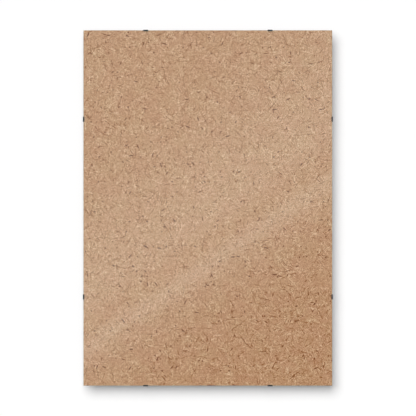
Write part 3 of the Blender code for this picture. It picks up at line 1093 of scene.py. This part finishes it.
def upright_card(name, half_width, half_height, middle_x, y, middle_z, material):
    """A flat rectangle that faces the camera's side, with its place in its mesh."""
    x = np.array([-1, 1, 1, -1]) * half_width + middle_x
    z = np.array([-1, -1, 1, 1]) * half_height + middle_z
    mesh = bpy.data.meshes.new(name)
    mesh.from_pydata(np.stack([x, np.full(4, y), z], 1), [], [(0, 1, 2, 3)])
    mesh.materials.append(material)
    made = link_object(name, mesh)
    made.visible_camera = False
    made.visible_shadow = False
    return made


flag_black, _, flag_shader = new_material("flag_black")
flag_shader.inputs["Base Color"].default_value = (0.0, 0.0, 0.0, 1.0)
flag_shader.inputs["Specular IOR Level"].default_value = 0.0
flag = upright_card("flag", pane_width / 2, pane_height / 2, 0.0, FLAG_Y, pane_middle, flag_black)
flag.visible_glossy = False
flag.visible_transmission = False
print("flag faces the camera's side:", flag.data.polygons[0].normal.y < 0)

# %% [markdown]
# ## What the glass reflects
#
# The photograph's only sign of the glass is its reflection: a broad pale veil over the upper left, a
# narrow brighter streak that crosses on the slant, and a quick fall to clear glass below it. It can't be
# painted on the board, because it has to move when the viewer does. So a large softbox stands in front of
# the pane, seen only by reflected rays, and its brightness changes across the slant. The pane gives back
# about 8 in 100 of it, and a point on the pane shows the softbox's point about 1.4 times as far off the
# middle.

# %% Softbox measures
SOFTBOX_DISTANCE = 3.8
SOFTBOX_HALF = 2.6
STREAK_SLANT = math.radians(34.5)
PANE_MIRROR = 0.077
SOFTBOX_TINT = (0.87, 0.98, 0.89, 1.0)
# How bright each part of the reflection is on the pane, and where it lies across the slant, in pixels.
VEIL = 0.056
VEIL_END = (75.0, 25.0)
SWELL = 0.044
SWELL_RISE = (-130.0, 10.0)
SWELL_END = (40.0, 5.0)
STREAK = 0.059
STREAK_MIDDLE = 46.0
STREAK_SPREAD = 8.0
TAIL = 0.053
TAIL_RISE = (30.0, 70.0)
TAIL_FADE = 45.0

mirror_spread = (CAMERA_DISTANCE + SOFTBOX_DISTANCE) / CAMERA_DISTANCE
pixel_on_softbox = MM_PER_PIXEL * MM * mirror_spread
print(f"one picture pixel is {pixel_on_softbox / MM:.1f} mm on the softbox")


# %% Softbox
def bell(tree, value, middle, spread):
    """A bell curve: exp(-((value - middle) / spread)^2 / 2)."""
    off = calc(tree, "DIVIDE", calc(tree, "SUBTRACT", value, middle), spread)
    return calc(tree, "EXPONENT", calc(tree, "MULTIPLY", calc(tree, "MULTIPLY", off, off), -0.5))


def make_softbox_glow():
    """Brightness over the distance t across the slant, in picture pixels from the middle of the pane.

    It is the sum of an even veil above, a broad swell, a narrow streak, and a tail below that fades as
    exp(-t / TAIL_FADE)."""
    material, tree, shader = new_material("softbox_glow")
    tree.nodes.remove(shader)
    x, _, z = split(tree, add_node(tree, "ShaderNodeTexCoord").outputs["Object"])
    off_x = calc(tree, "MULTIPLY", calc(tree, "SUBTRACT", x, camera.location.x), math.sin(STREAK_SLANT))
    off_z = calc(tree, "MULTIPLY", calc(tree, "SUBTRACT", z, pane_middle), -math.cos(STREAK_SLANT))
    across = calc(tree, "DIVIDE", calc(tree, "ADD", off_x, off_z), pixel_on_softbox)

    veil = calc(tree, "MULTIPLY", soft_step(tree, across, *VEIL_END), VEIL)
    swell_up = soft_step(tree, across, *SWELL_RISE)
    swell_down = soft_step(tree, across, *SWELL_END)
    swell = calc(tree, "MULTIPLY", calc(tree, "MULTIPLY", swell_up, swell_down), SWELL)
    streak = calc(tree, "MULTIPLY", bell(tree, across, STREAK_MIDDLE, STREAK_SPREAD), STREAK)
    past = calc(tree, "MAXIMUM", calc(tree, "SUBTRACT", across, TAIL_RISE[1]), 0.0)
    fading = calc(tree, "EXPONENT", calc(tree, "DIVIDE", past, -TAIL_FADE))
    tail_up = soft_step(tree, across, *TAIL_RISE)
    tail = calc(tree, "MULTIPLY", calc(tree, "MULTIPLY", tail_up, fading), TAIL)
    bright = calc(tree, "DIVIDE", total(tree, veil, swell, streak, tail), PANE_MIRROR)
    glow = add_node(tree, "ShaderNodeEmission")
    glow.inputs["Color"].default_value = SOFTBOX_TINT
    feed(tree, glow.inputs["Strength"], bright)
    feed(tree, tree.nodes["Material Output"].inputs["Surface"], glow.outputs[0])
    return material


softbox = upright_card(
    "softbox",
    SOFTBOX_HALF,
    SOFTBOX_HALF,
    camera.location.x,
    glass_low.y - SOFTBOX_DISTANCE,
    pane_middle,
    make_softbox_glow(),
)
softbox.visible_diffuse = False
print("softbox:", softbox.name, f"{2 * SOFTBOX_HALF:.1f} m wide")

# %% [markdown]
# ## Lamps and surroundings
#
# The key is a sun lamp with a wide angle, which shines like one large soft lamp high on the left and
# throws the shadow to the lower right. Only a sun's direction counts, so it may stand anywhere. The white
# surroundings fill the rest. A second lamp behind the sweep shows the back to whoever walks round. The
# levels add up so that a colour on the front looks about as light as it is written.

# %% Lamps
KEY_POWER = 3.25
KEY_ANGLE = math.radians(52.0)
KEY_ASIDE = 0.265
KEY_FALL = 0.425
KEY_PLACE = (-2.0, -3.0, 2.0)
BACK_POWER = 215.0
BACK_SIZE = 2.5
BACK_OFFSET = (1.5, 3.5, 1.5)
SURROUND_FILL = 0.08
SURROUND_GLOSS = 0.45


def place_lamp(name, data, place, heading):
    """A lamp that shines along heading and is never seen itself, neither straight on nor in the glass."""
    lamp = bpy.data.objects.new(name, data)
    lamp.location = place
    lamp.rotation_euler = Vector(heading).to_track_quat("-Z", "Y").to_euler()
    lamp.visible_camera = False
    lamp.visible_glossy = False
    lamp.visible_transmission = False
    bpy.context.scene.collection.objects.link(lamp)
    return lamp


key_data = bpy.data.lights.new("key_lamp", "SUN")
key_data.energy = KEY_POWER
key_data.angle = KEY_ANGLE
key_lamp = place_lamp("key_lamp", key_data, KEY_PLACE, (KEY_ASIDE, 1.0, -KEY_FALL))
back_data = bpy.data.lights.new("back_lamp", "AREA")
back_data.shape = "DISK"
back_data.energy = BACK_POWER
back_data.size = BACK_SIZE
back_place = Vector((0.0, 0.0, pane_middle)) + Vector(BACK_OFFSET)
back_lamp = place_lamp("back_lamp", back_data, back_place, (0.0, -1.0, 0.0))
print("lamps:", key_lamp.name, back_lamp.name)


# %% Surroundings
def make_surroundings():
    """White to the camera, softer in reflections, and a low even fill on everything else."""
    world = bpy.data.worlds.new("studio")
    world.use_nodes = True
    tree = world.node_tree
    rays = add_node(tree, "ShaderNodeLightPath").outputs
    seen = calc(tree, "MAXIMUM", rays["Is Camera Ray"], rays["Is Transmission Ray"])
    gloss = calc(tree, "MULTIPLY", rays["Is Glossy Ray"], SURROUND_GLOSS)
    level = calc(tree, "MAXIMUM", calc(tree, "MAXIMUM", seen, gloss), SURROUND_FILL)
    feed(tree, tree.nodes["Background"].inputs["Strength"], level)
    tree.nodes["Background"].inputs["Color"].default_value = (1.0, 1.0, 1.0, 1.0)
    bpy.context.scene.world = world
    return world


print("surroundings:", make_surroundings().name)
